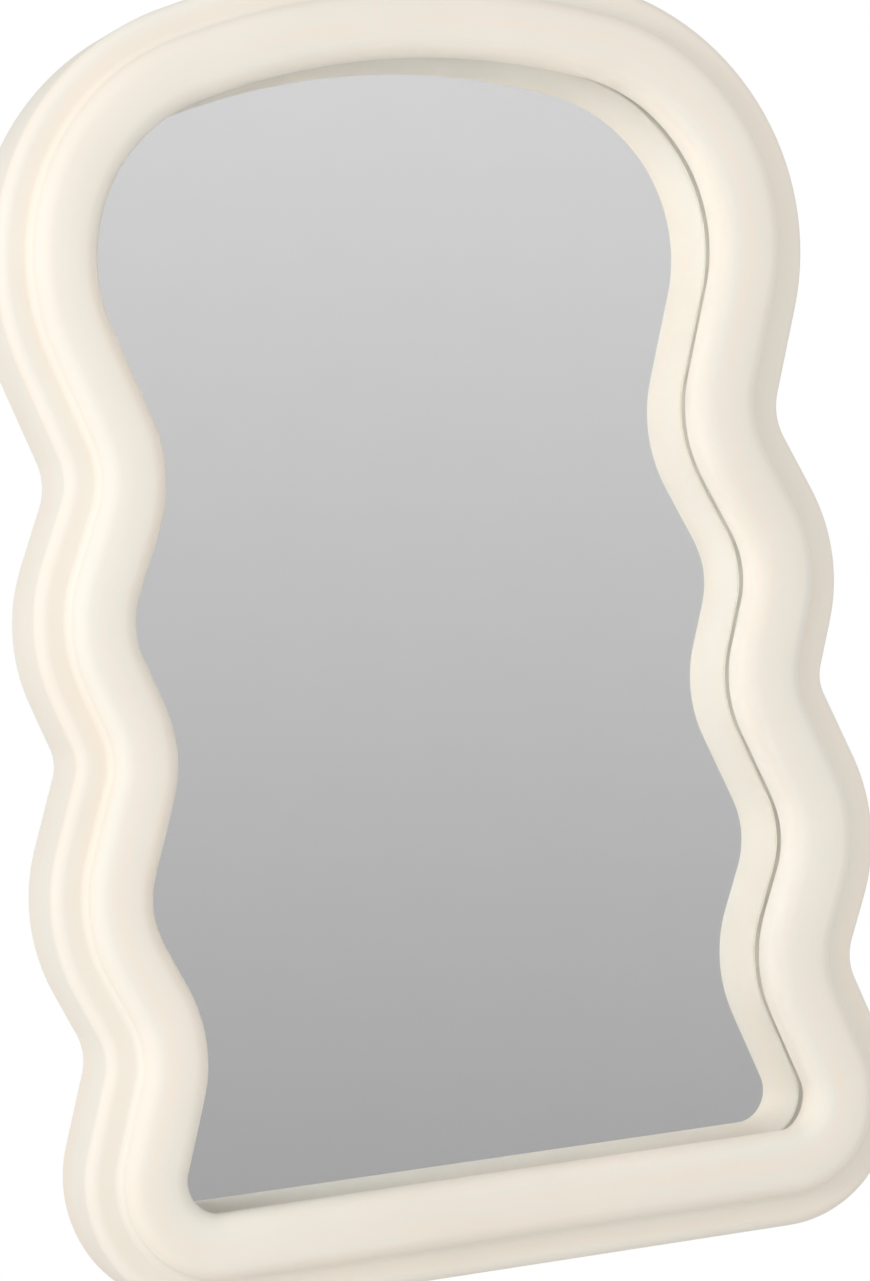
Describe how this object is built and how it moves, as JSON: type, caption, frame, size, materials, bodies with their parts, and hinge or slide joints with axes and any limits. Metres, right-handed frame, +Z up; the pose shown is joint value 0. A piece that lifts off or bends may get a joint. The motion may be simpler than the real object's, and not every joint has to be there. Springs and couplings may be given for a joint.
{
  "type": "wall mirror",
  "caption": "Wall mirror with a puffy cream frame, wavy at the sides and arched at the top, round a recessed glass. Turn buttons hold its back board and keyhole plates hang it.",
  "frame": {"origin": "halfway between the round entries of the two keyhole plates, on the flat back of the frame", "axes": "+X to the viewer's right, +Y from the mirror into the wall, +Z up; the glass faces -Y"},
  "size_m": [0.4, 0.06, 0.6],
  "materials": {
    "frame_paint": "cream satin paint",
    "dowel_wood": "bare beech",
    "glass": "float glass",
    "silver": "silvered",
    "foam_tape": "white foam",
    "hardboard": "smooth hardboard",
    "zinc_steel": "zinc plated",
    "rubber": "matte"
  },
  "bodies": {
    "frame": {"frame_top": "frame_paint", "frame_bottom": "frame_paint", "frame_left": "frame_paint", "frame_right": "frame_paint", "joint_dowels": "dowel_wood", "mirror_glass": "glass", "silver_coat": "silver", "glass_tape": "foam_tape", "setting_pads": "rubber", "backing_board": "hardboard", "turn_button_screws": "zinc_steel", "keyhole_plate_screws": "zinc_steel", "keyhole_plate_right": "zinc_steel", "wall_bumper_low_right": "rubber", "wall_bumper_high_right": "rubber", "keyhole_plate_left": "zinc_steel", "wall_bumper_low_left": "rubber", "wall_bumper_high_left": "rubber"},
    "button_bottom_right": {"turn_button_bottom_right": "zinc_steel"},
    "button_low_right": {"turn_button_low_right": "zinc_steel"},
    "button_high_right": {"turn_button_high_right": "zinc_steel"},
    "button_top_right": {"turn_button_top_right": "zinc_steel"},
    "button_bottom_left": {"turn_button_bottom_left": "zinc_steel"},
    "button_low_left": {"turn_button_low_left": "zinc_steel"},
    "button_high_left": {"turn_button_high_left": "zinc_steel"},
    "button_top_left": {"turn_button_top_left": "zinc_steel"}
  },
  "joints": [
    {"name": "turn_bottom_right", "type": "hinge", "parent": "frame", "child": "button_bottom_right", "pos_m": [0.07, -0.013, -0.4405], "axis": [0, 1, 0], "range_deg": [0, 90]},
    {"name": "turn_low_right", "type": "hinge", "parent": "frame", "child": "button_low_right", "pos_m": [0.16746, -0.013, -0.38911], "axis": [0, 1, 0], "range_deg": [0, 90]},
    {"name": "turn_high_right", "type": "hinge", "parent": "frame", "child": "button_high_right", "pos_m": [0.16115, -0.013, -0.13032], "axis": [0, 1, 0], "range_deg": [0, 90]},
    {"name": "turn_top_right", "type": "hinge", "parent": "frame", "child": "button_top_right", "pos_m": [0.095, -0.013, 0.094], "axis": [0, 1, 0], "range_deg": [0, 90]},
    {"name": "turn_bottom_left", "type": "hinge", "parent": "frame", "child": "button_bottom_left", "pos_m": [-0.07, -0.013, -0.4405], "axis": [0, -1, 0], "range_deg": [0, 90]},
    {"name": "turn_low_left", "type": "hinge", "parent": "frame", "child": "button_low_left", "pos_m": [-0.16746, -0.013, -0.38911], "axis": [0, -1, 0], "range_deg": [0, 90]},
    {"name": "turn_high_left", "type": "hinge", "parent": "frame", "child": "button_high_left", "pos_m": [-0.16115, -0.013, -0.13032], "axis": [0, -1, 0], "range_deg": [0, 90]},
    {"name": "turn_top_left", "type": "hinge", "parent": "frame", "child": "button_top_left", "pos_m": [-0.095, -0.013, 0.094], "axis": [0, -1, 0], "range_deg": [0, 90]}
  ]
}
